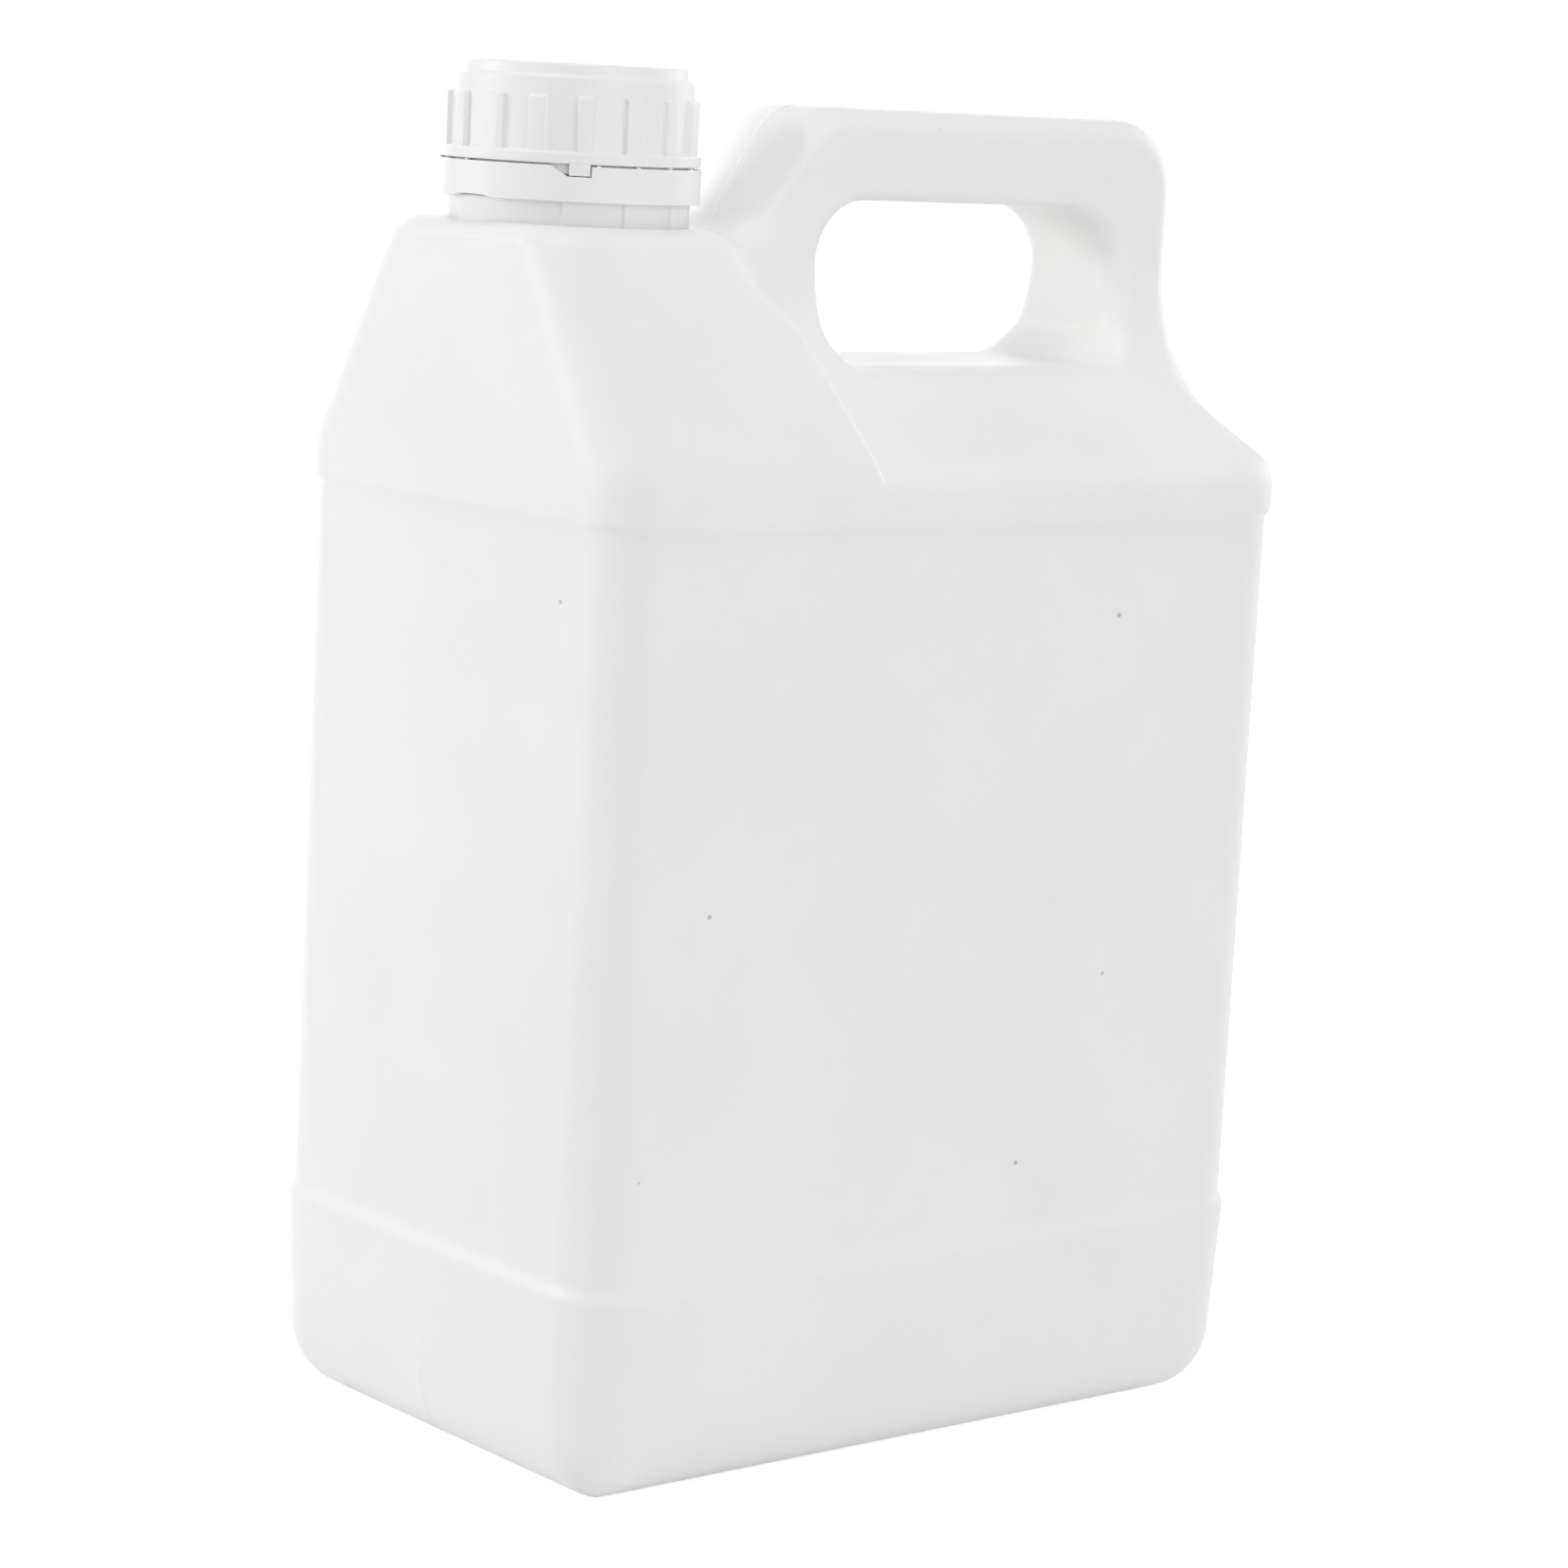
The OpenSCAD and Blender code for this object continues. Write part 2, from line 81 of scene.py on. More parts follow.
# the handle: its front leg, its corners, and how sharp the front leg's long edges are
HANDLE_EDGE, FRONT_EDGE = 6.0, 1.4
FRONT_EDGE_FROM, FRONT_EDGE_FULL = -24.0, -9.0
FRONT_EDGE_END, FRONT_EDGE_GONE = 283.0, 292.0
FOOT_X, FRONT_SLOPE = -30.7, math.radians(57.4)
FRONT_CORNER, REAR_CORNER = 13.0, 15.5
LEG_CROWN, LEG_CROWN_AT = 2.2, 13.0
LEG_PINCH, PINCH_REACH, PINCH_LOW, PINCH_MID, PINCH_HIGH = 1.5, 14.0, 250.0, 268.0, 284.0

# the web and the crease between neck block and handle
WEB_Z, WEB_RISE, FOOT_FILLET, FIN_IN_BLOCK = PLATFORM_Z - 0.5, 4.0, 8.0, 10.0
CREASE_MIN, CREASE_R, CREASE_LOW, CREASE_HIGH = 0.01, 0.9, 218.0, 232.0
WEB_FOLD, WEB_LOW, WEB_HIGH = 15.0, 245.0, 257.0
WEB_BLEND, WEB_BLEND_H = 0.98, 3.5

# the finger hole, the radii of its corners, and how far its rim is rounded
FRONT_LEG, REAR_LEG, GRIP_H = 19.6, 18.7, 20.0
HOLE_X0, HOLE_X1 = round(FOOT_X + FRONT_LEG, 2), round(REAR_X - REAR_LEG, 2)
HOLE_Z0, HOLE_Z1 = 237.9, round(HANDLE_TOP - GRIP_H, 2)
HOLE_R_LOW, HOLE_R_HIGH, HOLE_R_BLEND = 9.0, 14.0, 6.0
RIM_R, RIM_REAR, RIM_BOTTOM, RIM_BLEND = 3.0, 3.0, 10.0, 4.0

# the parting line: half width, height on the leg, on the rest of the handle and at the base, and
# from where to where it fades along x (leg to handle, rear end) and up z (base's foot, base's top)
SEAM_W, SEAM_LEG, SEAM_HANDLE, SEAM_BASE = 0.6, 0.3, 0.1, 0.14
SEAM_LEG_END, SEAM_REAR, SEAM_FOOT, SEAM_BASE_END = (-10, 5), (70, 90), (2, 6), (22, 34)

# the wall, and the opening in it under the neck
WALL, OPEN_R, OPEN_Z = 1.3, 21.5, 262.0

# the neck
THREAD_DEPTH, PITCH, NECK_TURNS, CAP_TURNS = 1.3, 5.0, 1.75, 1.5
NECK_R, BORE_R, GROOVE_R, COLLAR_R, COLLAR_ROOT_R = 22.4, 20.2, 24.3, 25.7, 23.6
BEAD_Z, BEAD_H, COLLAR_H, NECK_ROOT_Z, COLLAR_ROOT_Z = 276.3, 2.4, 5.3, 264.8, 265.0
COLLAR_TURN, COLLAR_TEETH, TOOTH_DEPTH = 20.0, 12, 0.5

# the cap
CAP_IN_R, CAP_R, BOSS_R, RIB_R = 24.0, 25.6, 24.1, 26.8
FLANGE_R = round(cap_high[0] - NECK_X, 2)
CAP_Z, FLANGE_H, RIB_H, BOSS_H, CEILING_Z, CEILING_R = 279.5, 2.4, 11.4, 2.5, 297.3, 22.5
CAP_TOP = cap_high[2] - BOSS_H
BOSS_DRAFT, SEAT_GAP = 0.2, 0.3
RIB_TURN, RIB_COUNT, RIB_W = 239.6, 16, 3.6
SKIRT_R, SKIRT_BEVEL, SKIRT_LOW, SKIRT_IN_LOW, SKIRT_TOP = 26.15, 0.3, 277.35, 278.2, 279.7

# the tamper ring, its notches and the stubs of its bridges
RING_IN_R, RING_R, RING_Z, RING_TOP = 26.3, ring_high[1], ring_low[2], 279.1
RING_LOW_Z, RING_MID_Z, LIP_Z, LIP_TOP, LIP_GAP = 274.0, 276.0, 272.3, 276.0, 0.3
NOTCH_WALL, NOTCH_SPAN, RAMP_SPAN, NOTCH_DEPTH, NOTCHES = 242.5, 17.9, 7.5, 2.2, 3
NOTCH_BEND_Z, WALL_TURN, RAMP_SOFT = 275.9, 0.06, 0.4
LUG_GAP_TURN, LUG_GAP, LUG_SINK, LUG_INSET, LUG_BEVEL = 0.6, 0.3, 0.5, 0.1, 0.15
STUB_TURN, STUB_STEP, STUB_SPAN, STUBS = 2.3, 18.5, 1.6, 4
STUB_INSET, STUB_SINK, STUB_BEVEL, STUB_GAP = 0.3, 0.5, 0.1, 0.1
RING_LIFT, LIFT_FROM, LIFT_FULL, LIFT_END, LIFT_GONE = 0.5, 170, 178, 190, 199

# the wad
WAD_R, WAD_Z, WAD_TOP, WAD_EDGE = round(wad_high[0] - NECK_X, 2), wad_low[2], wad_high[2], 0.15


def smooth(lo, hi, v):
    """0 at lo, 1 at hi, an even S between them. lo may be the larger."""
    t = np.clip((v - lo) / (hi - lo), 0, 1)
    return t * t * (3 - 2 * t)


def round_max(a, b, r, c=0.0):
    """Intersection of two fields with a rounded edge; c is the cosine between their directions."""
    a1, b1 = a + r, b + r
    apex = (a1 - c * b1 > 0) & (b1 - c * a1 > 0)
    corner = np.sqrt(np.maximum(a1 * a1 + b1 * b1 - 2 * c * a1 * b1, 0) / (1 - c * c))
    return np.where(apex, corner, np.maximum(a1, b1)) - r


def round_min(a, b, r, c=0.0):
    """Union of two fields with a hollow fillet."""
    return -round_max(-a, -b, r, c)


def level_max(a, b, r, shrink):
    """round_max whose fillet is round in level section; b's true distance is b * shrink."""
    a1, b1 = a + r, b + r
    both = (a1 > 0) & (b1 > 0)
    h = np.where(both, np.hypot(a1, b1), 1.0)
    ga = np.where(both, a1 / h, a1 > b1)
    gb = np.where(both, b1 / h, a1 <= b1)
    value = np.where(both, h, np.maximum(a1, b1)) - r
    return value / np.sqrt(ga * ga + (gb / shrink) ** 2)


def rounded_rect(x, y, cx, cy, hx, hy, r):
    """Distance to a rectangle with its middle at cx, cy, half sizes hx, hy and corner radius r."""
    qx, qy = np.abs(x - cx) - hx + r, np.abs(y - cy) - hy + r
    return np.minimum(np.maximum(qx, qy), 0) + np.hypot(np.maximum(qx, 0), np.maximum(qy, 0)) - r


def band_inset(z):
    """How far a side stands in from the bands: the panel between its ledges, and the base's draft."""
    low = smooth(LEDGE_LOW + LEDGE_LOW_SOFT[0], LEDGE_LOW + LEDGE_LOW_SOFT[1], z)
    high = 1 - smooth(LEDGE_HIGH + LEDGE_HIGH_SOFT[0], LEDGE_HIGH + LEDGE_HIGH_SOFT[1], z)
    draft = BASE_DRAFT * np.clip(1 - z / LEDGE_LOW, 0, 1)
    return BAND_STEP * low * high + draft


SHOULDER_TOP = BAND_TOP + SHOULDER_R * math.sin(SHOULDER_SLOPE)
SHOULDER_IN = HALF_W - SHOULDER_R * (1 - math.cos(SHOULDER_SLOPE))
FLARE_IN = HANDLE_HALF + FLARE_R * (1 - math.cos(SHOULDER_SLOPE))
FLARE_END = SHOULDER_TOP + (SHOULDER_IN - FLARE_IN) / math.tan(SHOULDER_SLOPE)
FLARE_TOP = FLARE_END + FLARE_R * math.sin(SHOULDER_SLOPE)


def flare(z):
    """Half width of the part beside the handle, and the angle of its surface from upright."""
    t = np.arcsin(np.clip((z - BAND_TOP) / SHOULDER_R, 0, math.sin(SHOULDER_SLOPE)))
    w = HALF_W - SHOULDER_R * (1 - np.cos(t))
    mid = (z >= SHOULDER_TOP) & (z < FLARE_END)
    w = np.where(mid, SHOULDER_IN - (z - SHOULDER_TOP) * math.tan(SHOULDER_SLOPE), w)
    slope = np.where(mid, SHOULDER_SLOPE, t)
    u = np.arcsin(np.clip((FLARE_TOP - z) / FLARE_R, 0, math.sin(SHOULDER_SLOPE)))
    up = z >= FLARE_END
    w = np.where(up, HANDLE_HALF + FLARE_R * (1 - np.cos(u)), w)
    return w, np.where(up, u, slope)


def neck_block(x, y, z):
    """The block under the neck: leaning flanks, upright front, leaning rear face, flat platform."""
    ay = np.abs(y)
    leaning = (ay - PLATFORM_HALF - (PLATFORM_Z - z) * math.tan(BLOCK_LEAN)) * math.cos(BLOCK_LEAN)
    flank = round_max(ay - HALF_W, leaning, BLOCK_BEND_R, math.cos(BLOCK_LEAN))
    low_down = smooth(PLATFORM_Z - PLATFORM_EDGE, BLOCK_FOOT_Z, z)
    block = round_max(FRONT_X - x, flank, BLOCK_EDGE_TOP + (BLOCK_EDGE_FOOT - BLOCK_EDGE_TOP) * low_down)
    rear = (x - BLOCK_REAR_X - (PLATFORM_Z - z) * math.tan(BLOCK_REAR_LEAN)) * math.cos(BLOCK_REAR_LEAN)
    rear_edge = BLOCK_REAR_EDGE + (BLOCK_REAR_EDGE_WEB - BLOCK_REAR_EDGE) * smooth(WEB_LOW, WEB_HIGH, z)
    block = round_max(block, rear, rear_edge)
    block = round_max(block, z - PLATFORM_Z, PLATFORM_EDGE)
    return np.maximum(block, OVERLAP_Z - z), rear


def finger_hole(fin, slope, x, z):
    """fin with the finger hole cut through it; slope is the angle of fin's side from upright."""
    cx, cz = (HOLE_X0 + HOLE_X1) / 2, (HOLE_Z0 + HOLE_Z1) / 2
    hx, hz = (HOLE_X1 - HOLE_X0) / 2, (HOLE_Z1 - HOLE_Z0) / 2
    upper = smooth(cz - HOLE_R_BLEND, cz + HOLE_R_BLEND, z)
    hole_r = HOLE_R_LOW + (HOLE_R_HIGH - HOLE_R_LOW) * upper
    hole = rounded_rect(x, z, cx, cz, hx, hz, hole_r)
    # how far the hole's nearest edge faces up or down, and how far it faces along the handle
    qx, qz = np.maximum(np.abs(x - cx) - hx + hole_r, 0), np.maximum(np.abs(z - cz) - hz + hole_r, 0)
    reach = np.maximum(np.hypot(qx, qz), 1e-3)
    bottom = qz / reach * (1 - smooth(cz - RIM_BLEND, cz + RIM_BLEND, z))
    rear_side = qx / reach * smooth(cx, cx + RIM_BLEND, x)
    rim = RIM_R + RIM_REAR * rear_side ** 2 + RIM_BOTTOM * bottom ** 4
    return round_max(fin, -hole, rim, np.clip(np.sin(slope) * bottom, 0, 0.9))


def body_field(x, y, z):
    """Negative inside the moulding, zero on its outer face; about the distance near it."""
    ay = np.abs(y)
    side = rounded_rect(x, y, 0, 0, REAR_X, HALF_W, CORNER_R)
    lower = round_max(side + band_inset(z), -z, BASE_R)
    lower = np.maximum(lower, z - BAND_TOP)
    block, rear = neck_block(x, y, z)

    # the fin is the handle with the shoulder below it
    w, slope = flare(z)
    front = (FOOT_X + (z - PLATFORM_Z) / math.tan(FRONT_SLOPE) - x) * math.sin(FRONT_SLOPE)
    on_leg = smooth(WEB_Z, WEB_Z + WEB_RISE, z)
    front = front + LEG_CROWN * (np.minimum(ay, HANDLE_HALF) / LEG_CROWN_AT) ** 2 * on_leg
    pinch = smooth(PINCH_LOW, PINCH_MID, z) * (1 - smooth(0, PINCH_REACH, -front))
    w = w - LEG_PINCH * pinch * (1 - smooth(PINCH_MID, PINCH_HIGH, z))
    foot = round_min(front, z - WEB_Z, FOOT_FILLET, math.cos(FRONT_SLOPE))
    outline = round_max(foot, z - HANDLE_TOP, FRONT_CORNER, math.cos(FRONT_SLOPE))
    outline = round_max(outline, x - REAR_X, REAR_CORNER)
    flared = np.clip((w - HANDLE_HALF) / (HALF_W - HANDLE_HALF), 0, 1)
    sharp = smooth(FRONT_EDGE_FROM, FRONT_EDGE_FULL, front) * on_leg
    sharp = sharp * (1 - smooth(FRONT_EDGE_END, FRONT_EDGE_GONE, z))
    edge = HANDLE_EDGE + (CORNER_R - HANDLE_EDGE) * flared + (FRONT_EDGE - HANDLE_EDGE) * sharp
    fin = level_max(outline, ay - w, edge, np.cos(slope))
    fin = np.maximum(fin, np.maximum(OVERLAP_Z - z, -FIN_IN_BLOCK - rear))
    fin = finger_hole(fin, slope, x, z)

    fold = CREASE_MIN + CREASE_R * smooth(CREASE_LOW, CREASE_HIGH, z)
    fold = fold + WEB_FOLD * smooth(WEB_LOW, WEB_HIGH, z)
    body = round_min(block, fin, fold, WEB_BLEND * smooth(WEB_Z - WEB_BLEND_H, WEB_Z, z))
    form = np.minimum(body, lower)

    # the parting line stands out a little along the leg, the handle and the base
    line = np.exp(-(y / SEAM_W) ** 2)
    on_handle = SEAM_LEG + (SEAM_HANDLE - SEAM_LEG) * smooth(*SEAM_LEG_END, x)
    on_handle = on_handle * on_leg * (1 - smooth(*SEAM_REAR, x))
    on_base = SEAM_BASE * (1 - smooth(*SEAM_BASE_END, z)) * smooth(*SEAM_FOOT, z)
    return form - line * (on_handle + on_base)


def grid_lines(marks):
    """Grid lines through (place, spacing) marks; the spacing runs evenly from mark to mark."""
    out = [marks[0][0]]
    for (a, sa), (b, sb) in zip(marks[:-1], marks[1:]):
        n = max(1, int(round((b - a) / ((sa + sb) / 2))))
        t = np.linspace(0, 1, n + 1)[1:]
        g = t * sa + t * t * (sb - sa) / 2
        out += list(a + (b - a) * g / g[-1])
    return np.array(out)


def value_and_gradient(f, p, h=0.02):
    """f at the points p, and its gradient there by differences over h each way."""
    g = np.zeros_like(p)
    for k in range(3):
        d = np.zeros(3)
        d[k] = h
        a, b = p + d, p - d
        g[:, k] = (f(a[:, 0], a[:, 1], a[:, 2]) - f(b[:, 0], b[:, 1], b[:, 2])) / (2 * h)
    return f(p[:, 0], p[:, 1], p[:, 2]), g


def skin(f, xs, ys, zs, rounds=4):
    """Surface nets on a rectilinear grid: one vertex in each cell that the zero set crosses."""
    axes = (xs, ys, zs)
    F = f(*np.meshgrid(xs, ys, zs, indexing="ij"))
    inside = F < 0
    nx, ny, nz = F.shape
    total = np.zeros((nx - 1, ny - 1, nz - 1), np.int8)
    for dx in (0, 1):
        for dy in (0, 1):
            for dz in (0, 1):
                total = total + inside[dx:nx - 1 + dx, dy:ny - 1 + dy, dz:nz - 1 + dz].astype(np.int8)
    mixed = (total > 0) & (total < 8)
    cells = np.argwhere(mixed)
    index = -np.ones(mixed.shape, np.int64)
    index[mixed] = np.arange(len(cells))
    pos, count = np.zeros((len(cells), 3)), np.zeros(len(cells))
    for axis in range(3):
        o1, o2 = [a for a in range(3) if a != axis]
        for u in (0, 1):
            for v in (0, 1):
                a = [c.copy() for c in cells.T]
                a[o1] += u
                a[o2] += v
                b = [c.copy() for c in a]
                b[axis] += 1
                fa, fb = F[tuple(a)], F[tuple(b)]
                cross = (fa < 0) != (fb < 0)
                t = np.where(cross, fa / np.where(cross, fa - fb, 1), 0)
                p = np.stack([axes[k][a[k]] for k in range(3)], 1)
                p[:, axis] += t * (axes[axis][b[axis]] - axes[axis][a[axis]])
                pos += p * cross[:, None]
                count += cross
    pos /= count[:, None]
    quads = []
    for axis in range(3):
        o1, o2 = [(1, 2), (2, 0), (0, 1)][axis]
        lo = [slice(1, n - 1) for n in F.shape]
        lo[axis] = slice(0, F.shape[axis] - 1)
        hi = list(lo)
        hi[axis] = slice(1, F.shape[axis])
        A, B = inside[tuple(lo)], inside[tuple(hi)]
        e = np.argwhere(A != B) + np.array([0 if k == axis else 1 for k in range(3)])
        flip = A[A != B]

        def cell(du, dv):
            q = e.copy()
            q[:, o1] -= du
            q[:, o2] -= dv
            return index[q[:, 0], q[:, 1], q[:, 2]]

        quad = np.stack([cell(1, 1), cell(0, 1), cell(0, 0), cell(1, 0)], 1)
        quad[~flip] = quad[~flip][:, ::-1]
        quads.append(quad)
    quads = np.concatenate(quads)
    for _ in range(rounds):
        v, g = value_and_gradient(f, pos)
        move = np.clip(v / np.maximum((g * g).sum(1), 0.2), -1.5, 1.5)
        pos = pos - move[:, None] * g
    return pos, quads


def make_object(name, verts_mm, faces, normals=None, smooth_faces=True):
    mesh = bpy.data.meshes.new(name)
    mesh.from_pydata((np.asarray(verts_mm) * MM).tolist(), [], [list(map(int, f)) for f in faces])
    mesh.validate()
    mesh.update()
    if smooth_faces:
        mesh.shade_smooth()
    if normals is not None:
        mesh.normals_split_custom_set_from_vertices(np.asarray(normals).tolist())
    obj = bpy.data.objects.new(name, mesh)
    bpy.context.scene.collection.objects.link(obj)
    return obj


def body_mesh(name, f, xs, ys, zs, inward=False):
    """The skin of f as an object, open under the neck. inward turns its faces to the inside."""
    pos, quads = skin(f, xs, ys, zs)
    mid = pos[quads].mean(1)
    gone = (np.hypot(mid[:, 0] - NECK_X, mid[:, 1]) < OPEN_R) & (mid[:, 2] > OPEN_Z)
    quads = quads[~gone]
    pos = np.clip(pos, (FRONT_X, -HALF_W, 0), (REAR_X, HALF_W, HANDLE_TOP))
    _, g = value_and_gradient(f, pos)
    g /= np.maximum(np.linalg.norm(g, axis=1), 1e-9)[:, None]
    if inward:
        quads, g = quads[:, ::-1], -g
    used = np.unique(quads)
    remap = -np.ones(len(pos), np.int64)
    remap[used] = np.arange(len(used))
    return make_object(name, pos[used], remap[quads], g[used])


def rounded(points, radii, steps=4):
    """A closed polygon with its corners rounded: points is a list of (r, z), radii one value for each."""
    out = []
    n = len(points)
    for i, (p, r) in enumerate(zip(points, radii)):
        p = np.array(p, float)
        if r <= 0:
            out.append(p)
            continue
        a = np.array(points[i - 1], float) - p
        b = np.array(points[(i + 1) % n], float) - p
        la, lb = np.linalg.norm(a), np.linalg.norm(b)
        a, b = a / la, b / lb
        angle = math.acos(max(-1, min(1, float(a @ b))))
        t = min(r / math.tan(angle / 2), 0.48 * la, 0.48 * lb)
        r = t * math.tan(angle / 2)
        mid = (a + b) / np.linalg.norm(a + b)
        c = p + mid * math.hypot(t, r)
        s, e = p + a * t - c, p + b * t - c
        for k in range(steps + 1):
            u = k / steps
            v = s * (1 - u) + e * u
            out.append(c + v / np.linalg.norm(v) * r)
    return np.array(out)


def lathe(name, profile, angles, change=None, weld=False):
    """Turns a closed (r, z) profile round the neck's axis. change(phi, r, z) returns new r and z."""
    m, n = len(angles), len(profile)
    phi = np.repeat(np.radians(angles), n)
    r, z = np.tile(profile[:, 0], m), np.tile(profile[:, 1], m)
    if change:
        r, z = change(np.degrees(phi), r, z)
    verts = np.stack([NECK_X + r * np.cos(phi), r * np.sin(phi), z], 1)
    faces = []
    for i in range(m):
        j = (i + 1) % m
        for k in range(n):
            l = (k + 1) % n
            faces.append((i * n + k, j * n + k, j * n + l, i * n + l))
    obj = make_object(name, verts, faces)
    if weld:
        mod = obj.modifiers.new("weld", "WELD")
        mod.merge_threshold = 1e-7
    return obj


def even_normals(obj):
    mod = obj.modifiers.new("normals", "WEIGHTED_NORMAL")
    mod.weight = 60
    mod.keep_sharp = True
    return obj


def sector(name, start, span, r0, r1, z0, z1, bevel):
    """A short piece of a ring with bevelled edges."""
    steps = max(2, int(span / 1.5))
    verts, faces = [], []
    for i in range(steps + 1):
        a = math.radians(start + span * i / steps)
        for r, z in ((r0, z0), (r1, z0), (r1, z1), (r0, z1)):
            verts.append((NECK_X + r * math.cos(a), r * math.sin(a), z))
    for i in range(steps):
        for k in range(4):
            l = (k + 1) % 4
            faces.append((i * 4 + k, (i + 1) * 4 + k, (i + 1) * 4 + l, i * 4 + l))
    faces += [(3, 2, 1, 0), tuple(steps * 4 + k for k in range(4))]
    obj = make_object(name, verts, faces)
    mod = obj.modifiers.new("bevel", "BEVEL")
    mod.width = bevel * MM
    mod.segments = 2
    mod.limit_method = "ANGLE"
    mod.angle_limit = math.radians(40)
    mod.harden_normals = True
    return obj


THREAD_SINK, THREAD_SOFT, RUN_OUT_STEPS = 0.5, 0.25, 9
THREAD_ROOT_HALF, THREAD_FLANK_HALF, THREAD_CREST_HALF = 1.25, 0.8, 0.5


def helix(name, r, depth, z_top, turns, steps=72):
    """Trapezoidal thread on radius r; depth is positive outwards. Both ends run out into the wall."""
    count = int(turns * steps)
    side = 1 if depth > 0 else -1
    soft = side * THREAD_SOFT
    verts, faces = [], []
    for i in range(count + 1):
        a = -2 * math.pi * i / steps
        z = z_top - PITCH * i / steps
        full = min(1, min(i, count - i) / RUN_OUT_STEPS)
        foot = r - side * THREAD_SINK
        crest = foot + soft + (depth + soft) * full
        width = 0.4 + 0.6 * full
        half = ((foot, THREAD_ROOT_HALF), (crest - soft, THREAD_FLANK_HALF), (crest, THREAD_CREST_HALF))
        for rr, zz in half + tuple((rr, -zz) for rr, zz in half[::-1]):
            verts.append((NECK_X + rr * math.cos(a), rr * math.sin(a), z + zz * width))
    for i in range(count):
        for k in range(6):
            l = (k + 1) % 6
            q = (i * 6 + k, i * 6 + l, (i + 1) * 6 + l, (i + 1) * 6 + k)
            faces.append(q if side > 0 else q[::-1])
    ends = [tuple(range(5, -1, -1)), tuple(count * 6 + k for k in range(6))]
    faces += ends if side > 0 else [e[::-1] for e in ends]
    return even_normals(make_object(name, verts, faces))


def node(tree, kind, **sockets):
    """A node with some inputs set. An input's name has _ here for each space in it."""
    n = tree.nodes.new(kind)
    for key, value in sockets.items():
        n.inputs[key.replace("_", " ")].default_value = value
    return n


def noise(tree, coords, scale, detail, roughness):
    n = node(tree, "ShaderNodeTexNoise", Scale=scale, Detail=detail, Roughness=roughness)
    tree.links.new(coords, n.inputs["Vector"])
    return n.outputs["Fac"]


def moved_range(tree, value, old, new):
    """value, with its range old (low, high) moved to new."""
    n = node(tree, "ShaderNodeMapRange", From_Min=old[0], From_Max=old[1], To_Min=new[0], To_Max=new[1])
    tree.links.new(value, n.inputs["Value"])
    return n.outputs["Result"]


def bump(tree, height, strength, distance, normal=None):
    n = node(tree, "ShaderNodeBump", Strength=strength, Distance=distance)
    tree.links.new(height, n.inputs["Height"])
    if normal is not None:
        tree.links.new(normal, n.inputs["Normal"])
    return n.outputs["Normal"]


def calculate(tree, operation, a, b):
    """A math node on the socket a and b, a socket or a number."""
    n = node(tree, "ShaderNodeMath")
    n.operation = operation
    tree.links.new(a, n.inputs[0])
    if isinstance(b, float):
        n.inputs[1].default_value = b
    else:
        tree.links.new(b, n.inputs[1])
    return n.outputs[0]


# Specks of dirt in the plastic: place and radius in millimetres. LONG_SIDE is just inside that face.
LONG_SIDE = -60.5
SPECKS = [(22, -HANDLE_HALF, 290, 0.6), (25, -HANDLE_HALF, 274, 0.5), (-95, -39, 191, 0.6),
          (43, LONG_SIDE, 186, 0.8), (-69, LONG_SIDE, 127, 0.7), (45, LONG_SIDE, 105, 0.5),
          (22, LONG_SIDE, 64, 0.7), (-84, LONG_SIDE, 72, 0.5)]
SPECK_COLOUR = (0.22, 0.2, 0.18, 1)
NOISE_RANGE = (0.3, 0.7)


def specked(tree, coords, colour, specks):
    """colour with a dark, soft-edged dot at each speck."""
    near = None
    for x, y, z, radius in specks:
        apart = node(tree, "ShaderNodeVectorMath")
        apart.operation = "DISTANCE"
        tree.links.new(coords, apart.inputs[0])
        apart.inputs[1].default_value = (x * MM, y * MM, z * MM)
        away = calculate(tree, "DIVIDE", apart.outputs["Value"], radius * MM)
        near = away if near is None else calculate(tree, "MINIMUM", near, away)
    dot = node(tree, "ShaderNodeMix")
    dot.data_type = "RGBA"
    tree.links.new(moved_range(tree, near, (0.35, 1.0), (0.6, 0.0)), dot.inputs["Factor"])
    tree.links.new(colour, dot.inputs["A"])
    dot.inputs["B"].default_value = SPECK_COLOUR
    return dot.outputs["Result"]


